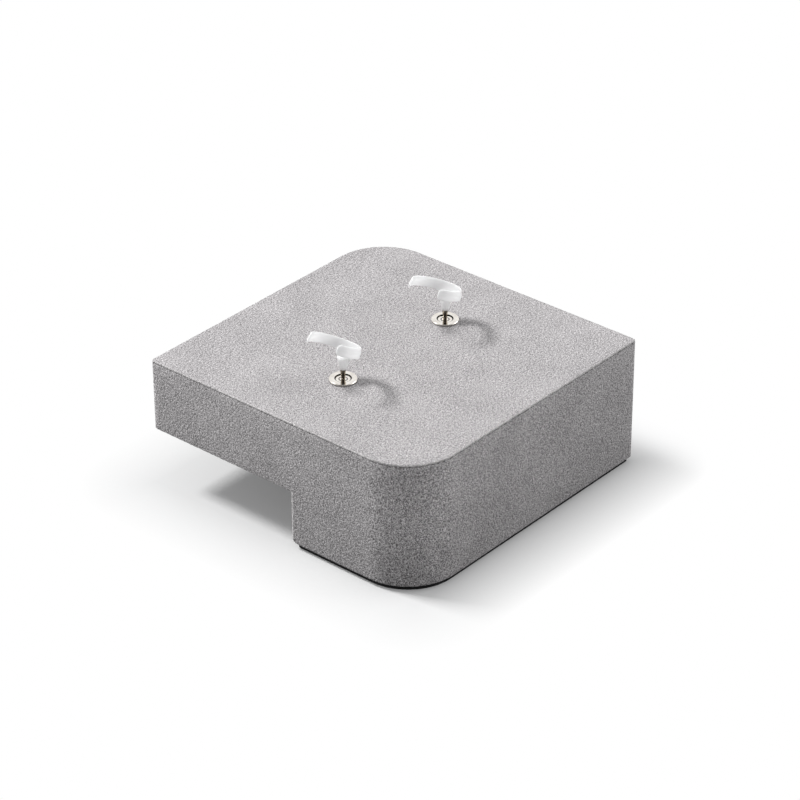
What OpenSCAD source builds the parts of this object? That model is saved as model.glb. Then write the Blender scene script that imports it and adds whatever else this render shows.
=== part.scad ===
// Jewelry display riser: a suede-covered block shaped like an upside-down L,
// with two plug-in holders that each carry a spring clip on a steel pin.
// Millimetres, +Z up. The origin is at the middle of the block, on the
// surface that it stands on. The leg lies towards -Y, the overhang towards +Y.

/* [Block] */
// Overall width, along X
block_w = 100; // [84:1:140]
// Overall depth, along Y
block_d = 100; // [84:1:140]
// Thickness of the board that makes the top
top_board_t = 22; // [18:1:30]
// Thickness of the board that makes the leg
leg_board_t = 17.1; // [12:0.1:30]
// Overall width of the leg, along Y
leg_w = 46.2; // [40:0.2:60]
// Radius of the two round upright edges, at (-X, -Y) and (+X, +Y)
corner_r = 17; // [10:1:28]
// Radius of the two tight upright edges
tight_r = 1; // [1:0.1:2]
// Rounding of the leg board's lower inner edge, under the suede
leg_edge_r = 1.2; // [0.6:0.1:2]

/* [Suede cover] */
// Thickness of the suede
suede_t = 0.6; // [0.5:0.05:0.9]
// Rounding of the suede along the top edge
edge_r = 0.25; // [0.15:0.05:0.5]
// Width that the suede is turned in under the leg
turn_in = 8; // [4:0.5:12]
// Diameter of the hole in the suede at each holder
suede_hole_d = 2.6; // [2.2:0.1:4]

/* [Base pad] */
// Thickness of the anti-slip pad under the leg
pad_t = 1.5; // [0.4:0.1:3]
// Distance from the edge of the leg to the edge of the pad
pad_inset = 1.05; // [0.8:0.05:4]

/* [Dowels] */
// Diameter of the dowels that join the two boards
dowel_d = 8; // [6:1:10]
// Length of a dowel
dowel_len = 30; // [20:1:32]
// How far a dowel stands in the leg board
dowel_in_leg = 14; // [8:0.5:15]
// Number of dowels
dowel_count = 3; // [2:1:4]
// Distance from the end of the block to the middle of the outer dowels
dowel_end = 18; // [16:1:24]
// Depth left free beyond each end of a dowel for glue
glue_space = 1; // [0.5:0.25:1.5]

/* [Foot discs] */
// Distance between the two holders
holder_pitch = 45.4; // [36:0.2:56]
// Diameter of the steel foot disc
disc_d = 8.3; // [7:0.1:12]
// Thickness of the disc at its rim
disc_t = 0.6; // [0.5:0.05:1.2]
// Diameter of the dish in the disc
dish_d = 4.9; // [3.6:0.1:6]
// Depth of the dish
dish_depth = 0.3; // [0.15:0.05:0.35]
// Middle diameter of the fine groove round the pin, in the floor of the dish
groove_d = 2.4; // [2.2:0.1:2.8]
// Depth of that groove
groove_depth = 0.1; // [0.05:0.01:0.15]

/* [Pins and sockets] */
// Diameter of the pin's shank
pin_d = 1.2; // [1:0.05:1.6]
// Depth of the pin's tip below the top of the suede
pin_depth = 10; // [8:0.5:12]
// Height of the pin's shoulder above the top of the suede
pin_rise = 3.6; // [2.4:0.1:6]
// Diameter of the pin at its shoulder
pin_head_d = 1.7; // [1.5:0.05:1.9]
// Diameter of the pin's neck, where it passes through the disc
neck_d = 0.8; // [0.6:0.05:1]
// Diameter of the collar that keeps the disc on the pin
collar_d = 1.8; // [1.7:0.05:2]
// Outer diameter of the socket sleeve in the top board
socket_d = 3; // [2.6:0.1:4]
// Length of the sleeve beyond the tip of the pin
socket_spare = 2; // [1:0.5:4]

/* [Spring clips] */
// Outer diameter of the clip's band
band_d = 15.8; // [13:0.1:19]
// Height of the band along its own axis
band_h = 3.2; // [3:0.1:7]
// Wall of the clip
clip_wall = 0.5; // [0.4:0.05:0.8]
// Width of the band's opening, in degrees
band_gap = 85; // [60:1:120]
// How much the upper rim draws in, so that the band is easy to load
lead_in = 0.4; // [0:0.05:0.8]
// Width of the tongue where its flare starts
tongue_w = 2.2; // [1.8:0.1:3]
// Length of the tongue below its flare
tongue_len = 0.8; // [0.6:0.1:3]
// Radius of the flare from the tongue to the band
flare_r = 4; // [1.5:0.1:5]
// Distance of the tongue's middle behind the pin's axis
tongue_back = 0.35; // [0:0.05:0.4]
// Diameter of the trumpet at its foot, on the pin
foot_d = 2.3; // [2.2:0.1:2.8]
// Diameter of the trumpet where it is widest
trumpet_d = 3.5; // [2.8:0.1:4]
// Height at which the trumpet is widest
trumpet_h = 3.9; // [3:0.1:4.2]
// Height of the dome on the trumpet
dome_h = 0.85; // [0.5:0.05:1]
// Bevel round the trumpet's foot
foot_bevel = 0.15; // [0.05:0.05:0.2]
// Radius of the rounded corners at the ends of the band
end_round = 1.2; // [0.6:0.1:1.4]
// Backward lean of the first clip, in degrees
lean_1 = 28; // [0:1:38]
// Backward lean of the second clip, in degrees
lean_2 = 22; // [0:1:38]

/* [Fits] */
// Radial clearance of the pin in its sleeve
pin_clear = 0.03; // [0.01:0.01:0.08]
// Clearance between the disc and the pin, all round
disc_clear = 0.05; // [0.02:0.01:0.1]
// Radial clearance of the dowels and sleeves in the boards
hole_clear = 0.05; // [0.02:0.01:0.2]

/* [Hidden] */
$fn = 96;

// Smallest radius that a tight corner keeps where it is set in from the suede
least_r = 0.2;
// Length by which a cutter runs past what it cuts
past = 1;

// Heights of the layers, from the surface that the block stands on
z_turn = pad_t;
z_leg = z_turn + suede_t;
z_joint = z_leg + leg_board_t;
z_under = z_joint - suede_t;
z_top = z_joint + top_board_t;
block_h = z_top + suede_t;

// Y of the leg's inner wall, outside the suede
leg_wall_y = leg_w - block_d / 2;

// Radius of the fold along the leg's lower inner edge, outside the suede
fold_r = leg_edge_r + suede_t;

// Holders stand on the centre line, one on each side of the middle
HOLDER_X = [-holder_pitch / 2, holder_pitch / 2];

// Each upright edge: the signs of its x and y, its radius, and the angle
// at which its arc starts
function corners(inset) =
    let (wide = corner_r - inset, tight = max(tight_r - inset, least_r))
    [[-1, -1, wide, 180], [1, -1, tight, 270], [1, 1, wide, 0], [-1, 1, tight, 90]];

// Middle of a corner's arc
function corner_centre(corner, inset) =
    [corner[0] * (block_w / 2 - inset - corner[2]), corner[1] * (block_d / 2 - inset - corner[2])];

// Point on a corner's arc at an angle
function on_arc(corner, inset, angle) =
    corner_centre(corner, inset) + corner[2] * [cos(angle), sin(angle)];

// Outline of the block from above, set in by a distance
module plan(inset = 0) {
    polygon([for (c = corners(inset), turn = [0, 90]) on_arc(c, inset, c[3] + turn)]);
    for (c = corners(inset))
        translate(corner_centre(c, inset)) circle(r = c[2]);
}

// Outline of the leg from above, set in by a distance
module leg_plan(inset = 0) {
    intersection() {
        plan(inset);
        translate([-block_w, -block_d])
            square([2 * block_w, block_d + leg_wall_y - inset]);
    }
}

// What a round of some radius leaves of a square corner. The corner is at
// the origin, and what is rounded lies towards -X and +Y.
module corner_waste(r) {
    difference() {
        translate([-r, -past]) square(r + past);
        translate([-r, r]) circle(r = r);
    }
}

// The leg cut across, with Y to the right and Z up, set in by a distance:
// its lower inner edge is round
module leg_section(inset = 0) {
    difference() {
        translate([-block_d, z_turn + inset])
            square([block_d + leg_wall_y - inset, z_joint - z_turn - inset]);
        translate([leg_wall_y - inset, z_turn + inset]) corner_waste(fold_r - inset);
    }
}

// Draws its children along the whole width of something, from the middle
module along_x(width) {
    rotate([90, 0, 90]) linear_extrude(width, center = true) children();
}

// Half of the plan that the front piece of suede covers. It is mitred at
// the two tight corners.
module front_half() {
    w = block_w / 2;
    d = block_d / 2;
    polygon([[-w - past, d + past], [turn_in - w, d - turn_in],
        [w - turn_in, turn_in - d], [w + past, -d - past], [-w - past, -d - past]]);
}

// Where the dowels stand, along the middle of the leg
function dowel_x(i) =
    (block_w / 2 - dowel_end) * (2 * i / (dowel_count - 1) - 1);

module at_dowels() {
    for (i = [0 : dowel_count - 1])
        translate([dowel_x(i), (leg_w - block_d) / 2, z_joint - dowel_in_leg]) children();
}

// The holes that the dowels go into, in both boards
module dowel_holes() {
    at_dowels() translate([0, 0, -glue_space])
        cylinder(d = dowel_d + 2 * hole_clear, h = dowel_len + 2 * glue_space);
}

module top_board() {
    color("burlywood") difference() {
        translate([0, 0, z_joint]) linear_extrude(top_board_t) plan(suede_t);
        dowel_holes();
        for (x = HOLDER_X)
            translate([x, 0, z_top - socket_len])
                cylinder(d = socket_d + 2 * hole_clear, h = socket_len + past);
    }
}

module leg_board() {
    color("tan") difference() {
        translate([0, 0, z_leg]) linear_extrude(leg_board_t) leg_plan(suede_t);
        leg_edge_cut(suede_t);
        dowel_holes();
    }
}

// Rounds the leg's lower inner edge
module leg_edge_cut(inset = 0) {
    along_x(2 * block_w)
        translate([leg_wall_y - inset, z_turn + inset]) corner_waste(fold_r - inset);
}

// Beech dowels with chamfered ends
module dowels() {
    chamfer = 1;
    r = dowel_d / 2;
    color("peru") at_dowels() rotate_extrude()
        polygon([[0, 0], [r - chamfer, 0], [r, chamfer], [r, dowel_len - chamfer],
            [r - chamfer, dowel_len], [0, dowel_len]]);
}

// A quarter of a circle, for the rounded edge
module edge_quarter() {
    intersection() {
        circle(r = edge_r);
        square(edge_r);
    }
}

// The rounded edge all along the plan: a quarter bar on each side and a
// quarter turn at each corner
module rounded_rim() {
    list = corners(0);
    for (i = [0 : 3]) {
        c = list[i];
        next = list[(i + 1) % 4];
        normal = c[3] + 90;
        side = on_arc(next, 0, normal) - on_arc(c, 0, normal);
        translate(corner_centre(c, 0)) {
            rotate([0, 0, c[3]]) rotate_extrude(angle = 90)
                translate([c[2] - edge_r, 0]) edge_quarter();
            rotate([0, 0, normal]) translate([c[2] - edge_r, norm(side), 0])
                rotate([90, 0, 0]) linear_extrude(norm(side)) edge_quarter();
        }
    }
}

// The panel of suede on the top, rounded along its edge
module top_suede() {
    color("darkgray") difference() {
        translate([0, 0, z_top]) {
            linear_extrude(suede_t - edge_r) plan();
            linear_extrude(suede_t) plan(edge_r);
            translate([0, 0, suede_t - edge_r]) rounded_rim();
        }
        for (x = HOLDER_X)
            translate([x, 0, z_top - past])
                cylinder(d = suede_hole_d, h = suede_t + 2 * past);
    }
}

// Suede round all four sides: cut away below the overhang, and folded in
// under the leg
module side_suede() {
    difference() {
        translate([0, 0, z_turn]) linear_extrude(z_top - z_turn) difference() {
            plan();
            plan(suede_t);
        }
        translate([-block_w, leg_wall_y, z_turn - past])
            cube([2 * block_w, block_d, z_under - z_turn + past]);
        leg_edge_cut();
    }
    translate([0, 0, z_turn]) linear_extrude(suede_t) difference() {
        intersection() {
            plan(suede_t);
            translate([-block_w, -block_d]) square([2 * block_w, block_d + leg_wall_y - fold_r]);
        }
        plan(suede_t + turn_in);
    }
}

module front_suede() {
    color("gray") intersection() {
        side_suede();
        linear_extrude(block_h) front_half();
    }
}

module rear_suede() {
    color("gray") difference() {
        side_suede();
        translate([0, 0, -past]) linear_extrude(block_h + 2 * past) front_half();
    }
}

// Suede under the overhang, folded down the leg's inner wall, round its
// lower edge and in under it
module under_suede() {
    inside_w = block_w - 2 * suede_t;
    color("dimgray") union() {
        translate([0, 0, z_under]) linear_extrude(suede_t) intersection() {
            plan(suede_t);
            translate([-block_w, leg_wall_y - suede_t]) square([2 * block_w, block_d]);
        }
        along_x(inside_w) difference() {
            leg_section();
            leg_section(suede_t);
            translate([-block_d, 0]) square([block_d + leg_wall_y - fold_r, z_joint]);
        }
        translate([turn_in - inside_w / 2, leg_wall_y - suede_t - turn_in, z_turn])
            cube([inside_w - 2 * turn_in, suede_t + turn_in - fold_r, suede_t]);
    }
}

module base_pad() {
    color([0.12, 0.12, 0.12]) linear_extrude(pad_t) leg_plan(pad_inset);
}

// Sleeve in the top board that guides the pin
socket_len = pin_depth - suede_t + socket_spare;
socket_bore_r = pin_d / 2 + pin_clear;

module socket(i) {
    mouth = 0.3;
    color("goldenrod") translate([HOLDER_X[i], 0, z_top - socket_len]) rotate_extrude()
        polygon([[socket_bore_r, 0], [socket_d / 2, 0], [socket_d / 2, socket_len],
            [socket_bore_r + mouth, socket_len], [socket_bore_r, socket_len - mouth]]);
}

// Steel foot disc: a flat rim round a shallow dish, with a hole for the pin
disc_hole_r = neck_d / 2 + disc_clear;
dish_floor = disc_t - dish_depth;

module foot_disc(i) {
    edge = 0.15;
    slope = 0.25;
    r = disc_d / 2;
    color("gainsboro") translate([HOLDER_X[i], 0, block_h]) rotate_extrude()
        polygon([[disc_hole_r, 0], [r - edge, 0], [r, edge], [r, disc_t - edge],
            [r - edge, disc_t], [dish_d / 2, disc_t], [dish_d / 2 - slope, dish_floor],
            [groove_d / 2 + groove_depth, dish_floor], [groove_d / 2, dish_floor - groove_depth],
            [groove_d / 2 - groove_depth, dish_floor], [disc_hole_r, dish_floor]]);
}

// Turned steel pin: tip, shank, collar below the disc, neck through the
// disc, a stalk that widens upwards, and a spigot for the clip
spigot_r = 0.6;
spigot_len = 1.1;

module pin(i) {
    tip = 1;
    collar_t = 0.4;
    stalk_r = disc_hole_r + disc_clear;
    shank_r = pin_d / 2;
    color("slategray") translate([HOLDER_X[i], 0, block_h]) rotate_extrude()
        polygon([[0, -pin_depth], [shank_r, tip - pin_depth],
            [shank_r, -disc_clear - collar_t], [collar_d / 2, -disc_clear - collar_t],
            [collar_d / 2, -disc_clear], [neck_d / 2, -disc_clear],
            [neck_d / 2, dish_floor + disc_clear], [stalk_r, dish_floor + disc_clear],
            [pin_head_d / 2, pin_rise], [spigot_r, pin_rise],
            [spigot_r, pin_rise + spigot_len], [0, pin_rise + spigot_len]]);
}

// Spring clip. Its own frame has the band's axis along Z, the back of the
// band towards +X, and its origin at the foot of the tongue.
band_r = band_d / 2;
band_z0 = tongue_len + flare_r;
band_z1 = band_z0 + band_h;
tongue_lift = 0.2;
root_r = foot_d / 2 - tongue_lift - 0.05;

// Section of the band's wall: straight, then drawn in, with round rims
module band_section() {
    bend = band_z0 + band_h / 2;
    half = clip_wall / 2;
    middle = band_r - half;
    polygon([[middle + half, band_z0 + half], [middle + half, bend],
        [middle + half - lead_in, band_z1 - half], [middle - half - lead_in, band_z1 - half],
        [middle - half, bend], [middle - half, band_z0 + half]]);
    translate([middle, band_z0 + half]) circle(r = half);
    translate([middle - lead_in, band_z1 - half]) circle(r = half);
}

// What is cut off to round a corner at one end of the band
module corner_cutter(r) {
    difference() {
        square(r + past);
        circle(r = r);
    }
}

// The band is open at the front. Its four corners are round, and each round
// meets the end of the band and its rim at a slight angle.
module band() {
    arm = 180 - band_gap / 2;
    bite = 0.03;
    difference() {
        rotate([0, 0, -arm]) rotate_extrude(angle = 2 * arm) band_section();
        for (side = [0, 1], up = [0, 1])
            mirror([0, side, 0]) rotate([0, 0, arm])
                translate([0, bite - end_round, band_z0 + band_h / 2])
                mirror([0, 0, 1 - up])
                translate([0, 0, band_h / 2 + bite - end_round])
                rotate([90, 0, 90]) linear_extrude(band_d) corner_cutter(end_round);
    }
}

// The tongue and its flare, seen from behind: it widens out of the foot, and
// turns out in two quarter circles until it runs along the foot of the band
module tongue_outline() {
    half = tongue_w / 2;
    polygon([[-root_r, 0], [root_r, 0], [half, tongue_len], [half, band_z0 + clip_wall],
        [-half, band_z0 + clip_wall], [-half, tongue_len]]);
    difference() {
        translate([-half - flare_r, tongue_len])
            square([tongue_w + 2 * flare_r, flare_r + clip_wall / 2]);
        for (side = [-1, 1])
            translate([side * (half + flare_r), tongue_len]) circle(r = flare_r);
    }
}

module tongue() {
    intersection() {
        difference() {
            cylinder(r = band_r, h = band_z0 + clip_wall);
            translate([0, 0, -past]) cylinder(r = band_r - clip_wall, h = band_z1);
        }
        rotate([90, 0, 90]) linear_extrude(band_d) tongue_outline();
    }
}

// Upright trumpet on the pin: a foot that widens in a hollow curve, and a dome
module trumpet() {
    foot = foot_d / 2;
    wide = trumpet_d / 2;
    steps = 8;
    rotate_extrude()
        polygon([[0, 0], [foot - foot_bevel, 0],
            for (k = [0:steps])
                let (t = k / steps)
                [foot + (wide - foot) * pow(t, 1.7), foot_bevel + (trumpet_h - foot_bevel) * t],
            for (k = [1:steps])
                let (a = 90 * k / steps)
                [k == steps ? 0 : wide * cos(a), trumpet_h + dome_h * sin(a)]]);
}

// Trumpet, leaning tongue and band in one moulding, with the hole for the
// pin's spigot
module clip(i, lean) {
    color("whitesmoke") translate([HOLDER_X[i], 0, block_h + pin_rise]) difference() {
        union() {
            trumpet();
            translate([0, 0, tongue_lift]) rotate([0, lean, 0])
                translate([tongue_back + clip_wall / 2 - band_r, 0, 0]) {
                    band();
                    tongue();
                }
        }
        translate([0, 0, -past]) cylinder(r = spigot_r + disc_clear / 2, h = past + spigot_len);
    }
}

top_board();
leg_board();
dowels();
top_suede();
front_suede();
rear_suede();
under_suede();
base_pad();
socket(0);  // socket_1
socket(1);  // socket_2
foot_disc(0);  // foot_disc_1
foot_disc(1);  // foot_disc_2
pin(0);  // pin_1
pin(1);  // pin_2
clip(0, lean_1);  // clip_1
clip(1, lean_2);  // clip_2
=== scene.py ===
# %% [markdown]
# # A suede display riser with two spring clips
#
# The object is a block shaped like an upside-down L. Two boards make its body,
# grey suede covers it, and a thin black pad keeps it from slipping. Two small
# holders are plugged into its top. Each has a steel pin, a steel foot disc and
# a spring clip of frosted plastic.
#
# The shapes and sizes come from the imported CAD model, the frame. This script
# loads it, gives each rigid part its finish, and builds the soft and shiny
# pieces again with more detail than the CAD solids have.

import itertools
import math

import bmesh
import bpy
import numpy as np
from mathutils import Matrix, Vector, geometry, noise


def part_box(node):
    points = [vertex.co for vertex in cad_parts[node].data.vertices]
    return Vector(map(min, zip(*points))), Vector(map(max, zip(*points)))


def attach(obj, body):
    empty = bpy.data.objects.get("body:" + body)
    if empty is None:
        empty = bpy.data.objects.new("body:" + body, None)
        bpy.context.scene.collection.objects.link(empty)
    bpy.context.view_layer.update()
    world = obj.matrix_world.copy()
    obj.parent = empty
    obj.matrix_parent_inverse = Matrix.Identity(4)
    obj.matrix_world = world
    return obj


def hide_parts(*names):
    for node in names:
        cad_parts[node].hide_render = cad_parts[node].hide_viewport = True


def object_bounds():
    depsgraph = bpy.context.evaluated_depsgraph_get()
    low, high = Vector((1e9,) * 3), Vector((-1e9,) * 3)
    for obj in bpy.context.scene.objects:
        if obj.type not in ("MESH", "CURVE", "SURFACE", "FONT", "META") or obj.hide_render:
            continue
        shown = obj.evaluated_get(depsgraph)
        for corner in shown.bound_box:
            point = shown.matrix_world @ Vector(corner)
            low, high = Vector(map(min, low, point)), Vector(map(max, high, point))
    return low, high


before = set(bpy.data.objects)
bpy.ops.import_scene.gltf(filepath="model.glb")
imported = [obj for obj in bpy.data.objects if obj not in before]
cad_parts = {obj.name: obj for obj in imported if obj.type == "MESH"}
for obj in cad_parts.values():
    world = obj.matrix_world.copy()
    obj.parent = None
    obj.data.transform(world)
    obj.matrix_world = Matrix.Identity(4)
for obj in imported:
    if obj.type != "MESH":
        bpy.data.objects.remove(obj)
cad_low, cad_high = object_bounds()
print("CAD box in mm:", [round(1000 * x, 2) for x in (*cad_low, *cad_high)])

# %% [markdown]
# ## Sizes
#
# Blender works in metres here, but a piece this small is easier to think about
# in millimetres, so lengths are written as a number times MM. The outer sizes
# are read from the CAD boxes and not typed again, so that the pieces built
# below can't drift away from the solids that they stand for.

# %% Sizes that come from the CAD boxes
MM = 0.001
leg_low, leg_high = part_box("leg_board")
pad_low, pad_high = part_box("base_pad")
foot_boxes = [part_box(f"foot_disc_{i}") for i in (1, 2)]
half_w, half_d = cad_high.x, cad_high.y
top_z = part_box("top_suede")[1].z
board_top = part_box("top_board")[1].z
suede = top_z - board_top
joint_z = leg_high.z
leg_z = leg_low.z
leg_wall_y = leg_high.y + suede
pad_t = pad_high.z
holder_x = [(low.x + high.x) / 2 for low, high in foot_boxes]
print("suede", round(suede / MM, 2), "leg wall at y", round(leg_wall_y / MM, 2))

# %% Sizes that the boxes can't give
round_corner = 17 * MM
tight_corner = 1 * MM
leg_edge = 1.2 * MM
print("round corners of", round_corner / MM, "mm, tight ones of", tight_corner / MM, "mm")

# %% [markdown]
# ## Camera
#
# A photographer shoots a small product from a few metres away with a long
# lens, because a near camera makes the front look too big. A long lens far
# away keeps the edges almost parallel. The place, the three axes and the focal
# length below were fitted to the straight edges of the block in the picture.

# %% The camera
right = Vector((0.65012339, -0.7598173, -0.00415301))
up = Vector((0.39174737, 0.33049798, 0.85866471))
ahead = right.cross(up) * -1
place = Vector((-603.26, -520.62, 500.31)) * MM
lens = bpy.data.cameras.new("product_camera")
lens.sensor_width = 36
lens.lens = 142.52
lens.clip_start, lens.clip_end = 0.05, 20
camera = bpy.data.objects.new("product_camera", lens)
bpy.context.scene.collection.objects.link(camera)
turned = Matrix((right, up, -ahead)).transposed().to_4x4()
camera.matrix_world = Matrix.Translation(place) @ turned
bpy.context.scene.camera = camera
print("camera", [round(x, 3) for x in place], "lens", lens.lens)

# %% [markdown]
# ## Light
#
# One lamp stands behind the block on the left and throws the soft shadows. Its
# size sets how soft they are, so it is a panel and not a point. It stands far
# enough back to light both ends of the top alike. A weak lamp on the right
# fills that side, and one low on the left grazes the left side and brings out
# the grain of the suede. The sky all round fills the shadows. A lamp's energy
# is in watts, so a helper works it out from the level of light that it gives.

# %% The lamps
scene = bpy.context.scene
scene.view_settings.view_transform = "Standard"
LAMP_TARGET = Vector((0, 0, 20 * MM))


def panel_lamp(name, towards, distance, size, level):
    """A square lamp. At level 1 it lights a surface that faces it so that a colour shows as written."""
    data = bpy.data.lights.new(name, "AREA")
    data.shape = "SQUARE"
    data.size = size
    data.energy = math.pi ** 2 * distance ** 2 * level
    lamp = bpy.data.objects.new(name, data)
    scene.collection.objects.link(lamp)
    direction = Vector(towards).normalized()
    lamp.location = direction * distance + LAMP_TARGET
    lamp.rotation_mode = "QUATERNION"
    lamp.rotation_quaternion = direction.to_track_quat("Z", "Y")
    return lamp


# One number turns all the lamps and the sky up or down together.
LIGHT = 1.31
key_lamp = panel_lamp(
    "key_lamp", towards=(-0.198, 0.617, 0.762), distance=3.0, size=0.65, level=0.75 * LIGHT,
)
fill_lamp = panel_lamp(
    "fill_lamp", towards=(0.85, -0.6, 0.5), distance=1.5, size=0.9, level=0.235 * LIGHT,
)
graze_lamp = panel_lamp(
    "graze_lamp", towards=(-0.5, 0.8, 0.2), distance=1.5, size=0.5, level=0.07 * LIGHT,
)
print("lamps:", key_lamp.name, fill_lamp.name, graze_lamp.name)

# %% [markdown]
# ## Sky and floor
#
# The picture has a pure white ground. More light would burn out the pale
# pieces, so the white comes from what the camera sees and not from light: the
# sky is plain white for rays that come straight from the camera, from polished
# metal or through plastic, and a softer grey for the rays that light the
# block. Behind the camera it shows a dark room, which polished metal needs to
# look like metal.
#
# The floor is white paper in the same way. It keeps the block's shadow, and
# away from the block a painted glow fades it towards pure white. Close to the
# block it throws less light back, so the block gets darker towards its foot.

# %% Small helpers for node trees
def add(tree, kind, **values):
    """A node with its settings and its inputs set by name or by number."""
    node = tree.nodes.new(kind)
    for key, value in values.items():
        if key.startswith("in_"):
            name = key[3:]
            node.inputs[int(name) if name.isdigit() else name.replace("_", " ")].default_value = value
        else:
            setattr(node, key, value)
    return node


def grey(tone):
    """A grey with its alpha."""
    return (tone, tone, tone, 1)


def mix_colours(tree, factor, first, second):
    """A colour mix. Each argument is a socket or a value."""
    node = add(tree, "ShaderNodeMix", data_type="RGBA")
    for number, value in ((0, factor), (6, first), (7, second)):
        if isinstance(value, bpy.types.NodeSocket):
            tree.links.new(value, node.inputs[number])
        else:
            node.inputs[number].default_value = value
    return node.outputs[2]


def mix_shaders(tree, factor, first, second):
    """A mix of two shaders. Each argument is a socket."""
    node = add(tree, "ShaderNodeMixShader")
    for number, socket in enumerate((factor, first, second)):
        tree.links.new(socket, node.inputs[number])
    return node.outputs[0]


def smooth_step(tree, value, start, end, low=0.0, high=1.0):
    """Goes from low to high while the value goes from start to end, with soft ends."""
    node = add(
        tree, "ShaderNodeMapRange", interpolation_type="SMOOTHSTEP",
        in_From_Min=start, in_From_Max=end, in_To_Min=low, in_To_Max=high,
    )
    tree.links.new(value, node.inputs[0])
    return node.outputs[0]


# %% Arithmetic in node trees
def maths(tree, operation, *values, clamp=False):
    """One step of arithmetic on sockets or numbers."""
    node = add(tree, "ShaderNodeMath", operation=operation, use_clamp=clamp)
    for number, value in enumerate(values):
        if isinstance(value, bpy.types.NodeSocket):
            tree.links.new(value, node.inputs[number])
        else:
            node.inputs[number].default_value = value
    return node.outputs[0]


def weighted_sum(tree, *parts):
    """The sum of (value, weight) parts."""
    total = 0.0
    for value, weight in parts:
        total = maths(tree, "MULTIPLY_ADD", value, weight, total)
    return total


def distance_of(tree, along_x, along_y):
    """The straight distance that two steps at a right angle make."""
    squares = [maths(tree, "POWER", step, 2.0) for step in (along_x, along_y)]
    return maths(tree, "POWER", maths(tree, "ADD", *squares), 0.5)


def seen_plainly(tree):
    """1 for rays from the camera, from a mirror or through plastic, and 0 for rays that carry light."""
    path = add(tree, "ShaderNodeLightPath")
    first = maths(tree, "MAXIMUM", path.outputs["Is Camera Ray"], path.outputs["Is Glossy Ray"])
    return maths(tree, "MAXIMUM", first, path.outputs["Is Transmission Ray"])


# %% The sky, with a dark room behind the photographer
SKY_LEVEL = 0.40 * LIGHT
# The room comes up between these two cosines of the angle from straight behind.
ROOM_STARTS, ROOM_FULL = 0.35, 0.75
sky = bpy.data.worlds.new("studio_sky")
sky.use_nodes = True
sky_tree = sky.node_tree
sky_tree.nodes.clear()
look = add(sky_tree, "ShaderNodeTexCoord")
behind = add(sky_tree, "ShaderNodeVectorMath", operation="DOT_PRODUCT", in_1=tuple(-ahead))
sky_tree.links.new(look.outputs["Generated"], behind.inputs[0])
room = smooth_step(sky_tree, behind.outputs["Value"], ROOM_STARTS, ROOM_FULL)
room_colour = mix_colours(sky_tree, room, grey(1.0), (0.05, 0.047, 0.043, 1))
soft = add(sky_tree, "ShaderNodeBackground", in_Color=(0.98, 0.99, 1, 1), in_Strength=SKY_LEVEL)
white = add(sky_tree, "ShaderNodeBackground", in_Strength=1.0)
sky_tree.links.new(room_colour, white.inputs["Color"])
shown = mix_shaders(sky_tree, seen_plainly(sky_tree), soft.outputs[0], white.outputs[0])
sky_out = add(sky_tree, "ShaderNodeOutputWorld")
sky_tree.links.new(shown, sky_out.inputs[0])
scene.world = sky
print("sky strength", soft.inputs["Strength"].default_value)

# %% The floor and its paper
FLOOR_REACH = 4
PAPER_TONE = 0.68
NEAR_BOUNCE, FAR_BOUNCE, BOUNCE_REACH = 0.10, 0.42, 50 * MM
GLOW_AT_BLOCK, GLOW_PER_METRE = 0.12, 39.0
floor_mesh = bpy.data.meshes.new("floor")
floor_corners = [(x * FLOOR_REACH, y * FLOOR_REACH, 0) for x, y in ((-1, -1), (1, -1), (1, 1), (-1, 1))]
floor_mesh.from_pydata(floor_corners, [], [(0, 1, 2, 3)])
floor = bpy.data.objects.new("floor", floor_mesh)
scene.collection.objects.link(floor)
paper = bpy.data.materials.new("white_paper")
paper.use_nodes = True
paper_tree = paper.node_tree
paper_tree.nodes.clear()
floor_mesh.materials.append(paper)
print("floor", 2 * FLOOR_REACH, "m across")

# %% How far a spot of the floor is from the block
spot = add(paper_tree, "ShaderNodeTexCoord")
axes = add(paper_tree, "ShaderNodeSeparateXYZ")
paper_tree.links.new(spot.outputs["Object"], axes.inputs[0])
beyond = []
for axis, edge in ((0, half_w), (1, half_d)):
    to_edge = maths(paper_tree, "SUBTRACT", maths(paper_tree, "ABSOLUTE", axes.outputs[axis]), edge)
    beyond.append(maths(paper_tree, "MAXIMUM", to_edge, 0.0))
away = distance_of(paper_tree, *beyond)

# %% The paper's colour and its fade to white
seen = seen_plainly(paper_tree)
off_block = smooth_step(paper_tree, away, 0.0, BOUNCE_REACH)
bounce = mix_colours(paper_tree, off_block, grey(NEAR_BOUNCE), grey(FAR_BOUNCE))
paper_face = add(paper_tree, "ShaderNodeBsdfDiffuse")
paper_tree.links.new(mix_colours(paper_tree, seen, bounce, grey(PAPER_TONE)), paper_face.inputs["Color"])
# Painted light: the paper glows more the farther it is from the block, which fades the block's shadow out.
whiter = maths(paper_tree, "MULTIPLY_ADD", away, GLOW_PER_METRE, GLOW_AT_BLOCK, clamp=True)
glow = add(paper_tree, "ShaderNodeEmission", in_Color=grey(1.0), in_Strength=1.0)
glow_share = maths(paper_tree, "MULTIPLY", whiter, seen)
paper_with_glow = mix_shaders(paper_tree, glow_share, paper_face.outputs[0], glow.outputs[0])
paper_out = add(paper_tree, "ShaderNodeOutputMaterial")
paper_tree.links.new(paper_with_glow, paper_out.inputs[0])
print("paper with", len(paper_tree.nodes), "nodes")

# %% [markdown]
# ## Effects that several finishes share
#
# Suede, foam and fibreboard are all speckled, only at other sizes, and every
# handled surface has broad faint patches. Each effect is one node group with
# its own inputs. The group is built once, and each material places it with its
# own numbers. The pattern is read from Object coordinates, so that it stays
# put on a piece that turns or lifts out.

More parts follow.
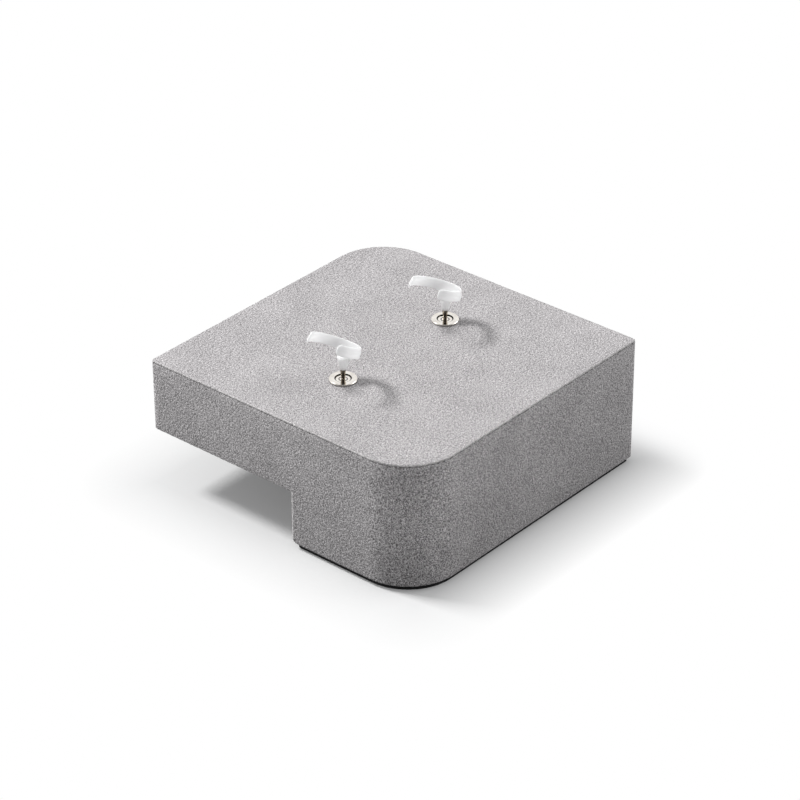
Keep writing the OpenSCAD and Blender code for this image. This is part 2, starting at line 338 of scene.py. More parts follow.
# %% Helpers for node groups
def start_group(name, inputs, outputs):
    """An empty shader node group of plain numbers. Inputs are (name, usual value), outputs are names."""
    group = bpy.data.node_groups.new(name, "ShaderNodeTree")
    for label, usual in inputs:
        socket = group.interface.new_socket(name=label, in_out="INPUT", socket_type="NodeSocketFloat")
        socket.default_value = usual
    for label in outputs:
        group.interface.new_socket(name=label, in_out="OUTPUT", socket_type="NodeSocketFloat")
    return group, add(group, "NodeGroupInput"), add(group, "NodeGroupOutput")


def millimetres(tree):
    """The place on the piece in millimetres, as a vector socket."""
    place_on_it = add(tree, "ShaderNodeTexCoord")
    scaled = add(tree, "ShaderNodeMapping", in_Scale=(1000, 1000, 1000))
    tree.links.new(place_on_it.outputs["Object"], scaled.inputs["Vector"])
    return scaled.outputs["Vector"]


def noise_layer(tree, where, size, **values):
    """Noise at a place in millimetres. The size is a socket, or None with in_Scale in the values."""
    node = add(tree, "ShaderNodeTexNoise", **values)
    tree.links.new(where, node.inputs["Vector"])
    if size is not None:
        tree.links.new(size, node.inputs["Scale"])
    return node.outputs["Fac"]


# %% Speckle: grain in three sizes, with flecks
COARSE_SHARE, FLECK_SHARE = 0.45, 0.5
# A fleck is the middle of a cell, and one cell in five has one.
FLECK_RADIUS, PLAIN_CELLS = 0.22, 0.8
speckle, given, result = start_group(
    "speckle", [("Grain per mm", 2.0), ("Patch per mm", 0.06)], ["Tone", "Flecks", "Height"],
)
grain_size, patch_size = given.outputs[0], given.outputs[1]
where = millimetres(speckle)
coarse_size = maths(speckle, "MULTIPLY", grain_size, COARSE_SHARE)
fine = noise_layer(speckle, where, grain_size, in_Detail=2.0, in_Roughness=0.6)
coarse = noise_layer(speckle, where, coarse_size, in_Detail=2.0, in_Roughness=0.55)
patch = noise_layer(speckle, where, patch_size, in_Detail=3.0, in_Roughness=0.5)
tone = weighted_sum(speckle, (fine, 0.71), (coarse, 0.23), (patch, 0.06))
cells = add(speckle, "ShaderNodeTexVoronoi", in_Randomness=1.0)
speckle.links.new(where, cells.inputs["Vector"])
speckle.links.new(maths(speckle, "MULTIPLY", grain_size, FLECK_SHARE), cells.inputs["Scale"])
in_middle = maths(speckle, "LESS_THAN", cells.outputs["Distance"], FLECK_RADIUS)
draw = add(speckle, "ShaderNodeSeparateColor")
speckle.links.new(cells.outputs["Color"], draw.inputs[0])
chosen = maths(speckle, "GREATER_THAN", draw.outputs[0], PLAIN_CELLS)
speckle.links.new(tone, result.inputs[0])
speckle.links.new(maths(speckle, "MULTIPLY", in_middle, chosen), result.inputs[1])
speckle.links.new(coarse, result.inputs[2])
print("group", speckle.name, "with", len(speckle.nodes), "nodes")

# %% Handling marks: broad faint patches and hair-fine scratches
handling, given, result = start_group(
    "handling", [("Patch per mm", 0.3), ("Scratch per mm", 2.0)], ["Smudge", "Scratches"],
)
where = millimetres(handling)
smudge = noise_layer(handling, where, given.outputs[0], in_Detail=3.0)
squeeze = add(handling, "ShaderNodeMapping", in_Scale=(1, 9, 3), in_Rotation=(0.4, 0.3, 0.9))
handling.links.new(where, squeeze.inputs["Vector"])
hair = noise_layer(handling, squeeze.outputs[0], given.outputs[1], in_Detail=4.0, in_Distortion=0.6)
handling.links.new(smudge, result.inputs[0])
handling.links.new(hair, result.inputs[1])
print("group", handling.name, "with", len(handling.nodes), "nodes")

# %% [markdown]
# ## Helpers for finishes
#
# Every finish below starts from one Principled surface. Numbers that are the
# same all over it are set on the surface itself, and only what changes from
# place to place comes in through links.

# %% Start a finish and give it a pattern
def start_finish(name, **plain):
    """A material, its tree and its Principled node, with the plain numbers set."""
    material = bpy.data.materials.new(name)
    material.use_nodes = True
    tree = material.node_tree
    face = tree.nodes["Principled BSDF"]
    for key, value in plain.items():
        face.inputs[key.replace("_", " ")].default_value = value
    return material, tree, face


def place_group(tree, group, **values):
    """The group as a node in this tree, with its own numbers."""
    node = add(tree, "ShaderNodeGroup", node_tree=group)
    for key, value in values.items():
        node.inputs[key.replace("_", " ")].default_value = value
    return node


def ramp(tree, factor, stops):
    """A colour ramp through (place, colour) stops."""
    node = add(tree, "ShaderNodeValToRGB")
    bar = node.color_ramp
    while len(bar.elements) < len(stops):
        bar.elements.new(0.5)
    for element, (spot, colour) in zip(bar.elements, stops):
        element.position = spot
        element.color = (*colour, 1)
    tree.links.new(factor, node.inputs[0])
    return node.outputs[0]


# %% Put the colour, the shine and the relief on a surface
def paint(tree, face, colour, pattern, rough_at_0, rough_at_1):
    """Links a colour, and a roughness that follows a pattern of 0 to 1."""
    shine = add(tree, "ShaderNodeMapRange", in_To_Min=rough_at_0, in_To_Max=rough_at_1)
    tree.links.new(pattern, shine.inputs[0])
    tree.links.new(shine.outputs[0], face.inputs["Roughness"])
    tree.links.new(colour, face.inputs["Base Color"])


def dust(tree, marks, strength, colour, under):
    """The flecks of a speckle, in their own colour over another."""
    return mix_colours(tree, maths(tree, "MULTIPLY", marks.outputs["Flecks"], strength), under, colour)


def raise_surface(tree, face, height, depth, strength=1.0):
    """Bump from a height, with the depth in metres."""
    node = add(tree, "ShaderNodeBump", in_Strength=strength, in_Distance=depth)
    tree.links.new(height, node.inputs["Height"])
    tree.links.new(node.outputs[0], face.inputs["Normal"])


# %% [markdown]
# ## Suede
#
# The cover is a microfibre suede: no shine, a short nap, and a salt and pepper
# grain, finer than half a millimetre, that catches the light as fine speckle.
# The nap lies a little this way and that, so broad patches differ slightly in
# tone. In the picture, light grazes the two near sides and shows their nap
# more strongly than the top's, so the sheet on them has a finish of more
# contrast, which paints that grazing light into its grain. The other sheets
# share the top's. Where the cloth is cut or rubbed along an edge it is paler,
# and the pale is also a painted highlight where an edge would catch the lamp.
# In a crease it is painted darker, as painted shade. The mesh carries that as
# a number at each point, called wear_and_painted_light, above 0 at a pale edge
# and -1 in a dark crease. The builder of the sheets further down writes it.

# %% The suede
# Each colour's place on the grain, as far from its middle as at a contrast of 1.
FIBRE_COLOURS = [
    (-0.14, (0.105, 0.100, 0.101)),
    (-0.04, (0.300, 0.287, 0.291)),
    (0.04, (0.440, 0.423, 0.428)),
    (0.14, (0.740, 0.715, 0.720)),
]
FLECK_COLOUR = (0.05, 0.048, 0.048, 1)
# Edge colours: a pale one, part wear and part painted highlight, and a dark one that is painted shade in
# creases.
WORN_AND_HIGHLIGHT_COLOUR = (0.74, 0.72, 0.715, 1)
PAINTED_CREASE_SHADE = (0.06, 0.057, 0.057, 1)
GRAIN_LOW, GRAIN_HIGH = 0.36, 0.60


def suede_cloth(name, contrast):
    """Grey suede. A higher contrast leaves fewer fibres between dark and pale."""
    finish, tree, face = start_finish(
        name, Roughness=0.95, Sheen_Weight=0.12, Sheen_Roughness=0.55, Specular_IOR_Level=0.15,
    )
    marks = place_group(tree, speckle, Grain_per_mm=3.3, Patch_per_mm=0.07)
    grain = marks.outputs["Tone"]
    stops = [(0.5 + off_middle / contrast, colour) for off_middle, colour in FIBRE_COLOURS]
    fibres = ramp(tree, grain, stops)
    flecked = dust(tree, marks, 0.7, FLECK_COLOUR, fibres)
    wear_and_painted_light = add(tree, "ShaderNodeAttribute", attribute_name="wear_and_painted_light").outputs["Fac"]
    uneven = smooth_step(tree, grain, GRAIN_LOW, GRAIN_HIGH, low=0.35, high=0.95)
    # Pale edges: part wear, part painted highlight.
    worn_and_highlit = mix_colours(tree, maths(tree, "MULTIPLY", wear_and_painted_light, uneven, clamp=True), flecked, WORN_AND_HIGHLIGHT_COLOUR)
    broken = smooth_step(tree, grain, GRAIN_LOW, GRAIN_HIGH, low=-1.0, high=-0.15)
    # Dark creases: painted shade.
    suede_with_painted_shade = mix_colours(tree, maths(tree, "MULTIPLY", wear_and_painted_light, broken, clamp=True), worn_and_highlit, PAINTED_CREASE_SHADE)
    paint(tree, face, suede_with_painted_shade, grain, 0.98, 0.86)
    raise_surface(tree, face, marks.outputs["Height"], 0.3 * MM)
    return finish


# The side sheet's finish has more grain contrast than the top's: painted grazing light.
top_cloth = suede_cloth("suede_top_nap", contrast=1.15)
side_cloth = suede_cloth("suede_side_painted_graze", contrast=1.5)
print("finishes", top_cloth.name, side_cloth.name)

# %% [markdown]
# ## Building a sheet of cloth
#
# Each piece of suede is a flat cut sheet that is glued round the boards. So it
# is built the same way: its outline is drawn flat, in two lengths u and v, and
# a wrapping rule says where a point of the sheet ends up and how high above
# the board it stands. The edges roll down softly in a few rows of points, and
# small uneven shifts along them make the nap look alive. The middle is filled
# with triangles over a grid of points, close together only where the sheet
# bends.
#
# A boolean of solid blocks would give the same silhouette, but its edges would
# be razor sharp, which is what gives a computer model away.

# %% Walk along an outline
# Two edges count as one straight line above this cosine of the angle between them.
IN_LINE = 0.999


def walk(corners, rolls, step):
    """Points along a closed outline, no further apart than step.

    Each has the inward directions and edge rolls of the two edges that it
    belongs to. A negative roll marks a crease that is painted dark as shade.
    """
    count = len(corners)
    inward = []
    for i in range(count):
        along = (Vector(corners[(i + 1) % count]) - Vector(corners[i])).normalized()
        inward.append(Vector((-along.y, along.x)))
    points = []
    for i in range(count):
        start, end = Vector(corners[i]), Vector(corners[(i + 1) % count])
        pieces = max(1, math.ceil((end - start).length / step))
        points.append((start, inward[i - 1], inward[i], rolls[i - 1], rolls[i]))
        for k in range(1, pieces):
            points.append((start.lerp(end, k / pieces), inward[i], inward[i], rolls[i], rolls[i]))
    return points


def walk_evenly(corners, roll, step):
    """Points along a closed outline whose edges all roll alike."""
    return walk(corners, [roll] * len(corners), step)


def shrink(point, share):
    """Where an outline point goes when both of its edges move in by that share of their rolls."""
    start, one, two = point[:3]
    roll_one, roll_two = abs(point[3]), abs(point[4])
    lean = one.dot(two)
    if lean > IN_LINE:
        return start + one * (roll_one + roll_two) / 2 * share
    a = (roll_one - lean * roll_two) * share / (1 - lean * lean)
    b = (roll_two - lean * roll_one) * share / (1 - lean * lean)
    return start + one * a + two * b


# %% Tell inside from outside
# Keeps a stretch without length from dividing by nothing, in square metres.
NO_LENGTH = 1e-18


def inside(points, outline):
    """Which of the points, an array of u and v, lie inside the closed outline."""
    u, v = points[:, 0], points[:, 1]
    within = np.zeros(len(points), bool)
    for i in range(len(outline)):
        (u1, v1), (u2, v2) = outline[i - 1], outline[i]
        crosses = (v1 > v) != (v2 > v)
        with np.errstate(divide="ignore", invalid="ignore"):
            within ^= crosses & (u < (u2 - u1) * (v - v1) / (v2 - v1) + u1)
    return within


def distance_to(points, outline):
    """How far each point is from a closed outline."""
    best = np.full(len(points), np.inf)
    for i in range(len(outline)):
        start, end = np.array(outline[i - 1]), np.array(outline[i])
        along = end - start
        share = np.clip(((points - start) @ along) / max(along @ along, NO_LENGTH), 0, 1)
        best = np.minimum(best, np.hypot(*(points - start - share[:, None] * along).T))
    return best


# %% Make a mesh object
def make_piece(name, vertices, faces, finish):
    """A smooth mesh object with one finish, in the scene."""
    mesh = bpy.data.meshes.new(name)
    mesh.from_pydata([tuple(v) for v in vertices], [], [tuple(f) for f in faces])
    mesh.materials.append(finish)
    mesh.validate()
    mesh.polygons.foreach_set("use_smooth", [True] * len(mesh.polygons))
    piece = bpy.data.objects.new(name, mesh)
    scene.collection.objects.link(piece)
    return piece


def set_outward(piece):
    """Turns all faces outwards."""
    work = bmesh.new()
    work.from_mesh(piece.data)
    bmesh.ops.recalc_face_normals(work, faces=work.faces)
    if work.calc_volume(signed=True) < 0:
        bmesh.ops.reverse_faces(work, faces=work.faces)
    work.to_mesh(piece.data)
    work.free()


# %% Roll an edge down
ROLL_ROWS = 6
SEAM_ROLL = 0.12 * MM
DEEPEST_ROLL = 0.8
FIBRE_GAP = 0.45 * MM
FRAY = 8


def shiver(spot, seed):
    """How the fibres stand at a spot, from -1 to 1. Each seed gives another nap."""
    return noise.noise(Vector((spot.x / FIBRE_GAP + seed, spot.y / FIBRE_GAP - seed, seed)))


def rolled_rows(loop, deepest, nap, wear_and_highlight, pale_from, seed):
    """Rows of points from an outline at the foot of its edge up to the flat of the sheet.

    Each point has its place, how deep it lies below the flat, how far a fibre
    stands off there, and its wear_and_painted_light number: above 0 on a pale
    edge, part wear and part painted highlight, and -1 in a crease, painted shade.
    """
    rows = []
    for k in range(ROLL_ROWS):
        turn = math.pi / 2 * k / (ROLL_ROWS - 1)
        share = 1 - math.cos(turn)
        row = []
        for point in loop:
            start, _, _, roll_one, roll_two = point
            roll = (abs(roll_one) + abs(roll_two)) / 2
            fray = FRAY * nap * abs(shiver(start, seed)) * math.cos(turn) / roll
            spot = shrink(point, min(share + fray, 1) if roll > SEAM_ROLL else share)
            fuzz = shiver(spot, seed) * nap * math.cos(turn)
            drop = min(roll, deepest) * (1 - math.sin(turn))
            # A crease is painted dark, as shade; an open edge that rolls far enough turns pale, part wear
            # and part painted highlight.
            in_crease = roll_one < 0 and roll_two < 0
            wear_and_painted_light = -1.0 if in_crease else wear_and_highlight if roll > pale_from else 0.0
            row.append((spot, drop, fuzz, wear_and_painted_light * (1 - share ** 3)))
        rows.append(row)
    return rows


# %% Fill the middle
CLEAR_OF_EDGE = 0.25 * MM
# The triangulation gives the triangles inside the rims, with holes, and takes
# points this close in millimetres as one.
WITH_HOLES = 2
SAME_SPOT = 1e-6


def fill(name, rims, lines_u, lines_v):
    """Triangles inside the first rim and outside the others, over a grid of points.

    It returns the grid's points, the triangles, and the number of the point
    that each triangle corner stands for, with the rims' points counted first.
    """
    grid = np.array([(u, v) for u in lines_u for v in lines_v], float)
    keep = inside(grid, rims[0]) & (distance_to(grid, rims[0]) > CLEAR_OF_EDGE)
    for hole in rims[1:]:
        keep &= ~inside(grid, hole) & (distance_to(grid, hole) > CLEAR_OF_EDGE)
    grid = grid[keep]
    rings, flat = [], []
    for rim in rims:
        rings.append(list(range(len(flat), len(flat) + len(rim))))
        flat += [Vector(p) / MM for p in rim]
    flat += [Vector(p) / MM for p in grid]
    filled = geometry.delaunay_2d_cdt(flat, [], rings, WITH_HOLES, SAME_SPOT)
    spots, triangles, origins = filled[0], filled[2], filled[3]
    if len(spots) != len(flat):
        print(name, "fill moved points:", len(flat), len(spots))
    return grid, triangles, [numbers[0] for numbers in origins]


# %% Build the sheet
DIP_SIZE = 14 * MM


def soft_sheet(
    name, loops, lines_u, lines_v, wrap, thick, finish,
    nap=0.0, relief=0.0, both_sides=False, wear_and_highlight=0.8, pale_from=SEAM_ROLL, seed=0.0,
):
    """A closed sheet, laid flat and then wrapped. wrap(u, v, h) gives the place of a point.

    loops are the outer outline, anticlockwise, and any holes, clockwise, each
    as points from walk(). nap is how far the fibres stand unevenly, relief how
    deep the flat dips, wear_and_highlight how pale the open edges are, as wear
    and painted highlight, and pale_from the roll above which an edge turns pale.
    both_sides rolls the lower edges too.
    """
    vertices, faces, wear_and_painted_light_values = [], [], []

    def put(u, v, h, wear_and_painted_light):
        vertices.append(wrap(u, v, h))
        wear_and_painted_light_values.append(wear_and_painted_light)
        return len(vertices) - 1

    deepest = thick / 2 if both_sides else DEEPEST_ROLL * thick
    rims, rim_front, rim_back = [], [], []
    for loop in loops:
        rows = rolled_rows(loop, deepest, nap, wear_and_highlight, pale_from, seed)
        front, back = [], []
        for k, row in enumerate(rows):
            front.append([put(s.x, s.y, thick - drop - abs(fuzz), wear_and_painted_light) for s, drop, fuzz, wear_and_painted_light in row])
            if both_sides:
                back.append([put(s.x, s.y, drop, wear_and_painted_light) for s, drop, fuzz, wear_and_painted_light in row])
            elif k in (0, ROLL_ROWS - 1):
                back.append([put(s.x, s.y, 0.0, wear_and_painted_light) for s, drop, fuzz, wear_and_painted_light in row])
        strips = back[::-1] + front
        for one, two in zip(strips, strips[1:]):
            for i in range(len(loop)):
                j = (i + 1) % len(loop)
                faces.append((one[i], one[j], two[j], two[i]))
        rims.append([tuple(point[0]) for point in rows[-1]])
        rim_front += front[-1]
        rim_back += back[-1]

    grid, triangles, origins = fill(name, rims, lines_u, lines_v)
    upper, lower = [], []
    for number in origins:
        if number < len(rim_front):
            upper.append(rim_front[number])
            lower.append(rim_back[number])
            continue
        u, v = grid[number - len(rim_front)]
        dip = relief * (0.5 + 0.5 * noise.noise(Vector((u / DIP_SIZE + seed, v / DIP_SIZE, seed))))
        upper.append(put(u, v, thick - dip, 0.0))
        lower.append(put(u, v, 0.0, 0.0))
    for a, b, c in triangles:
        faces.append((upper[a], upper[b], upper[c]))
        faces.append((lower[c], lower[b], lower[a]))
    piece = make_piece(name, vertices, faces, finish)
    piece.data.attributes.new("wear_and_painted_light", "FLOAT", "POINT").data.foreach_set("value", wear_and_painted_light_values)
    set_outward(piece)
    print(name, len(piece.data.vertices), "points", len(piece.data.polygons), "faces")
    return piece


def lines(*stretches):
    """Grid lines for a sheet. Each stretch is (start, end, gap)."""
    found = []
    for start, end, gap in stretches:
        pieces = max(1, round(abs(end - start) / gap))
        found += [start + (end - start) * k / pieces for k in range(pieces + 1)]
    return sorted(set(round(x, 7) for x in found))


# %% [markdown]
# ## The top sheet
#
# The top is one panel, glued over the edge of the sides. Its outline has two
# round corners and two tight ones, and it has a small hole for each pin. The
# hole hides under the foot disc until the holder is lifted out.

# %% Outlines in plan
# No corner gets sharper than this, however far the plan is set in.
SHARPEST = 0.2 * MM
ROUND_PIECES, TIGHT_PIECES = 48, 8


def plan_outline(inset):
    """The block's outline from above, set in, anticlockwise from the corner (+X, +Y)."""
    outline = []
    for corner, (side_x, side_y) in enumerate(((1, 1), (-1, 1), (-1, -1), (1, -1))):
        is_round = side_x == side_y
        radius = max((round_corner if is_round else tight_corner) - inset, SHARPEST)
        middle = Vector((side_x * (half_w - inset - radius), side_y * (half_d - inset - radius)))
        pieces = ROUND_PIECES if is_round else TIGHT_PIECES
        for k in range(pieces + 1):
            angle = math.radians(90 * corner + 90 * k / pieces)
            outline.append(tuple(middle + radius * Vector((math.cos(angle), math.sin(angle)))))
    return outline


def on_circle(x, y, radius, angle):
    """The point of a circle at an angle in radians."""
    return (x + radius * math.cos(angle), y + radius * math.sin(angle))


def hole_outline(x, radius, pieces=32):
    """A circle round a holder's axis, clockwise, as a hole."""
    return [on_circle(x, 0, radius, -2 * math.pi * k / pieces) for k in range(pieces)]


# %% The top sheet
TOP_ROLL = 0.25 * MM
PIN_HOLE_R = 1.3 * MM
EDGE_STEP, GRID_GAP = 0.3 * MM, 2 * MM
NAP, RELIEF = 0.05 * MM, 0.03 * MM
plan = plan_outline(0)
top_loops = [walk_evenly(plan, TOP_ROLL, EDGE_STEP)]
for x in holder_x:
    top_loops.append(walk_evenly(hole_outline(x, PIN_HOLE_R), SEAM_ROLL, EDGE_STEP))
even_lines = lines((-half_w, half_w, GRID_GAP))
suede_top = soft_sheet(
    "suede_top", top_loops, even_lines, even_lines,
    lambda u, v, h: (u, v, board_top + h),
    suede, top_cloth, nap=NAP, relief=RELIEF, seed=3.1,
)
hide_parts("top_suede")
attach(suede_top, "block")

# %% [markdown]
# ## The side sheets
#
# Two strips go round the sides and meet at the two tight corners. Laid flat,
# each is an L: tall where it covers the leg, and low where it covers the
# overhang. At the foot of the leg it folds under, round the edge of the board.
# The wrapping rule follows the plan of the block for u, and for v it goes down
# the wall, round the fold and in under the leg.

# %% Lengths along a strip
quarter = math.pi / 2
tight_half = tight_corner * quarter / 2
long_side = 2 * half_d - tight_corner - round_corner
near_side = 2 * half_w - tight_corner - round_corner
stretches = [tight_half, long_side, round_corner * quarter, near_side, tight_half]
first_bend, round_start, round_end, last_bend, strip_end = itertools.accumulate(stretches)
wall_drop = board_top - leg_z
fold_drop = suede * quarter
print("strip", round(strip_end / MM, 1), "mm long, wall", round(wall_drop / MM, 1), "mm high")


# %% The wrapping rule of a side sheet
def plan_point(s, inset):
    """A point on half of the block's outline, set in, at a length s along it.

    The half starts in the middle of the tight corner (-X, +Y), runs past the
    round corner (-X, -Y) and ends in the middle of the tight corner (+X, -Y).
    """
    tight = max(tight_corner, inset)
    rest = max(tight_corner - inset, 0)
    if s <= first_bend:
        angle = math.radians(135) + s / tight_corner
        return Vector(on_circle(tight - half_w, half_d - tight, rest, angle))
    if s <= round_start:
        return Vector((inset - half_w, min(half_d - tight_corner - (s - first_bend), half_d - tight)))
    if s <= round_end:
        angle = math.pi + (s - round_start) / round_corner
        return Vector(on_circle(round_corner - half_w, round_corner - half_d, round_corner - inset, angle))
    if s <= last_bend:
        return Vector((min(round_corner - half_w + (s - round_end), half_w - tight), inset - half_d))
    angle = 1.5 * math.pi + (s - last_bend) / tight_corner
    return Vector(on_circle(half_w - tight, tight - half_d, rest, angle))


def side_wrap(turned):
    """The wrapping rule for the front sheet, or for the rear one, which is the same half turned round."""
    def rule(s, v, h):
        down = -v
        if down <= wall_drop:
            inset, z = suede - h, board_top - down
        elif down <= wall_drop + fold_drop:
            angle = (down - wall_drop) / suede
            inset, z = suede - h * math.cos(angle), leg_z - h * math.sin(angle)
        else:
            inset, z = suede + down - wall_drop - fold_drop, leg_z - h
        p = plan_point(min(max(s, 0), strip_end), inset) * (-1 if turned else 1)
        return (p.x, p.y, z)
    return rule


# %% The outline of a side sheet, laid flat
TURN_IN = 3.4 * MM
FLAP_START = 1.9 * MM
RIM_ROLL, NOTCH_ROLL, LOW_ROLL = 0.3 * MM, 0.7 * MM, 0.5 * MM
fold_round = leg_edge + suede
under_v = joint_z - suede - board_top
foot_v = pad_t - board_top
deep_v = -(wall_drop + fold_drop + TURN_IN)


def round_between(centre, radius, start, end, pieces=8):
    """Points on an arc, ends included, with angles in degrees."""
    angles = [math.radians(start + (end - start) * k / pieces) for k in range(pieces + 1)]
    return [on_circle(*centre, radius, angle) for angle in angles]


def side_roll(here, after, arc, notch):
    """The roll of the edge between two corners, negative where the cloth is creased and painted dark as
    shade.
    """
    if here[1] == 0 and after[1] == 0:
        return -RIM_ROLL
    if here in arc and after in arc:
        return -NOTCH_ROLL
    if here in notch and after in notch:
        return NOTCH_ROLL
    if here[0] == after[0] and here[0] in (0, strip_end):
        return SEAM_ROLL
    return LOW_ROLL


def side_outline(s_wall, leg_first):
    """Corners and edge rolls. s_wall is where the leg's inner wall is along the strip.

    The leg lies before it or after it, and the notch is the edge from the
    overhang down the leg's inner wall, round its foot and in under it.
    """
    side = -1 if leg_first else 1
    start, end = (0, -45) if leg_first else (180, 225)
    arc = round_between((s_wall + side * fold_round, foot_v + fold_round), fold_round, start, end, pieces=6)
    flap = s_wall + side * FLAP_START
    notch = [(s_wall, under_v)] + arc + [(flap, -(wall_drop + fold_drop)), (flap, deep_v)]
    if leg_first:
        corners = [(0, 0), (0, deep_v)] + notch[::-1] + [(strip_end, under_v), (strip_end, 0)]
    else:
        corners = [(0, 0), (0, under_v)] + notch + [(strip_end, deep_v), (strip_end, 0)]
    rolls = [side_roll(here, after, arc, notch) for here, after in zip(corners, corners[1:] + corners[:1])]
    return corners, rolls


# %% Grid lines of the side sheets
BEND_GAP, FOLD_GAP, ROUND_GAP, FLAP_GAP, NEAR_GAP = 0.15 * MM, 0.12 * MM, 0.7 * MM, 0.6 * MM, 0.5 * MM
bends_u = lines(
    (0, first_bend, BEND_GAP),
    (first_bend, first_bend + 2 * MM, NEAR_GAP),
    (first_bend + 2 * MM, round_start, GRID_GAP),
    (round_start, round_end, ROUND_GAP),
    (round_end, last_bend - 2 * MM, GRID_GAP),
    (last_bend - 2 * MM, last_bend, NEAR_GAP),
    (last_bend, strip_end, BEND_GAP),
)
bends_v = lines(
    (0, 1 * MM - wall_drop, GRID_GAP),
    (1 * MM - wall_drop, -wall_drop, NEAR_GAP),
    (-wall_drop, -wall_drop - fold_drop, FOLD_GAP),
    (-wall_drop - fold_drop, deep_v, FLAP_GAP),
)
print("grid of", len(bends_u), "by", len(bends_v), "lines")

# %% The front and rear sheets
# On the side sheets only the notch's edges roll far enough to turn pale: the leg's inner edge and the
# overhang's lower edge, part wear and part painted highlight.
SIDE_WEAR_AND_HIGHLIGHT, SIDE_PALE_FROM = 2.0, 0.6 * MM
wall_s_front = first_bend + (half_d - tight_corner) - leg_wall_y
wall_s_rear = first_bend + (half_d - tight_corner) + leg_wall_y
for name, node, s_wall, turned, cloth, seed in (
    ("suede_front", "front_suede", wall_s_front, False, side_cloth, 7.7),
    ("suede_rear", "rear_suede", wall_s_rear, True, top_cloth, 11.3),
):
    corners, rolls = side_outline(s_wall, leg_first=turned)
    sheet = soft_sheet(
        name, [walk(corners, rolls, EDGE_STEP)], bends_u, bends_v, side_wrap(turned), suede, cloth,
        nap=NAP, relief=RELIEF, wear_and_highlight=SIDE_WEAR_AND_HIGHLIGHT, pale_from=SIDE_PALE_FROM, seed=seed,
    )
    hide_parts(node)
    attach(sheet, "block")

# %% [markdown]
# ## The sheet under the overhang
#
# One more sheet covers the ceiling of the overhang, bends down the inner wall
# of the leg, goes round its lower edge and is turned in under it. It is seen
# only from below and from behind, but a block that is open there would look
# unfinished.

# %% The wrapping rule of the sheet under the overhang
FOOT_FLAP = 8 * MM
board_y = leg_high.y
v_fold = board_y - (joint_z - leg_z - leg_edge)
v_under = v_fold - leg_edge * quarter
v_end = v_under - (FOOT_FLAP - leg_edge)


def under_wrap(u, v, h):
    """Along the ceiling, down the wall, round the fold and in under the leg."""
    if v >= board_y:
        return (u, max(v, board_y + h), joint_z - h)
    if v >= v_fold:
        return (u, board_y + h, min(joint_z - (board_y - v), joint_z - h))
    if v >= v_under:
        angle = (v_fold - v) / leg_edge
        return (u, *on_circle(board_y - leg_edge, leg_z + leg_edge, leg_edge + h, -angle))
    return (u, board_y - leg_edge - (v_under - v), leg_z - h)


# %% The sheet under the overhang
UNDER_NAP = 0.03 * MM
edge_x = half_w - suede
flap_x = edge_x - FOOT_FLAP
ceiling = [p for p in plan_outline(suede) if p[1] > board_y + 1 * MM]
under_corners = [p for p in ceiling if p[0] >= 0] + [p for p in ceiling if p[0] < 0]
under_corners += [(-edge_x, v_under), (-flap_x, v_under), (-flap_x, v_end)]
under_corners += [(flap_x, v_end), (flap_x, v_under), (edge_x, v_under)]
under_lines = lines(
    (v_end, v_under, 1.5 * MM),
    (v_under, v_fold, 0.2 * MM),
    (v_fold, board_y - 1 * MM, GRID_GAP),
    (board_y - 1 * MM, board_y + 1 * MM, 0.25 * MM),
    (board_y + 1 * MM, half_d, GRID_GAP),
)
suede_under = soft_sheet(
    "suede_under", [walk_evenly(under_corners, SEAM_ROLL, EDGE_STEP)], even_lines, under_lines,
    under_wrap, suede, top_cloth, nap=UNDER_NAP, relief=RELIEF, seed=15.9,
)
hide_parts("under_suede")
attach(suede_under, "block")

# %% [markdown]
# ## The pad
#
# A sheet of black closed-cell foam keeps the block from slipping. It is set in
# from the edge of the leg, so that only a dark line shows. Its finish is the
# same speckle as the suede's with other numbers: tiny dark pores, and dust
# that has settled in them.

# %% The foam
PORE_COLOURS = [(0.36, (0.006, 0.006, 0.006)), (0.52, (0.017, 0.017, 0.018)), (0.68, (0.035, 0.035, 0.036))]
foam_finish, tree, face = start_finish("black_foam", Roughness=0.9, Specular_IOR_Level=0.25)
marks = place_group(tree, speckle, Grain_per_mm=3.2, Patch_per_mm=0.1)
pores = ramp(tree, marks.outputs["Tone"], PORE_COLOURS)
dusty = dust(tree, marks, 0.12, (0.2, 0.19, 0.18, 1), pores)
paint(tree, face, dusty, marks.outputs["Tone"], 0.95, 0.75)
raise_surface(tree, face, marks.outputs["Height"], 0.2 * MM, 0.6)
print("finish", foam_finish.name)

# %% The pad
PAD_ROUND, PAD_ROLL, PAD_STEP, PAD_GAP = 1.3 * MM, 0.15 * MM, 0.6 * MM, 3 * MM
under_leg = [p for p in plan_outline(half_w - pad_high.x) if p[1] < pad_high.y]
pad_corners = [p for p in under_leg if p[0] < 0] + [p for p in under_leg if p[0] >= 0]
for x, start in ((pad_high.x - PAD_ROUND, 0), (pad_low.x + PAD_ROUND, 90)):
    pad_corners += round_between((x, pad_high.y - PAD_ROUND), PAD_ROUND, start, start + 90)
foam_pad = soft_sheet(
    "foam_pad", [walk_evenly(pad_corners, PAD_ROLL, PAD_STEP)],
    lines((-half_w, half_w, PAD_GAP)), lines((-half_d, half_d, PAD_GAP)),
    lambda u, v, h: (u, v, pad_t - h), pad_t, foam_finish, nap=UNDER_NAP, seed=21.0,
)
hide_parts("base_pad")
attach(foam_pad, "block")

# %% [markdown]
# ## Boards, dowels and sleeves
#
# These are inside and show only when the block is taken apart, but each still
# has its own finish: fibreboard with pressed fibres, beech with long pores
# along the dowel, and turned brass with fine rings. Their CAD shapes are right
# as they are, so only the finish changes.

# %% Put a finish on a CAD node
def dress(node, finish):
    """Gives a CAD node another finish."""
    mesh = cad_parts[node].data
    mesh.materials.clear()
    mesh.materials.append(finish)


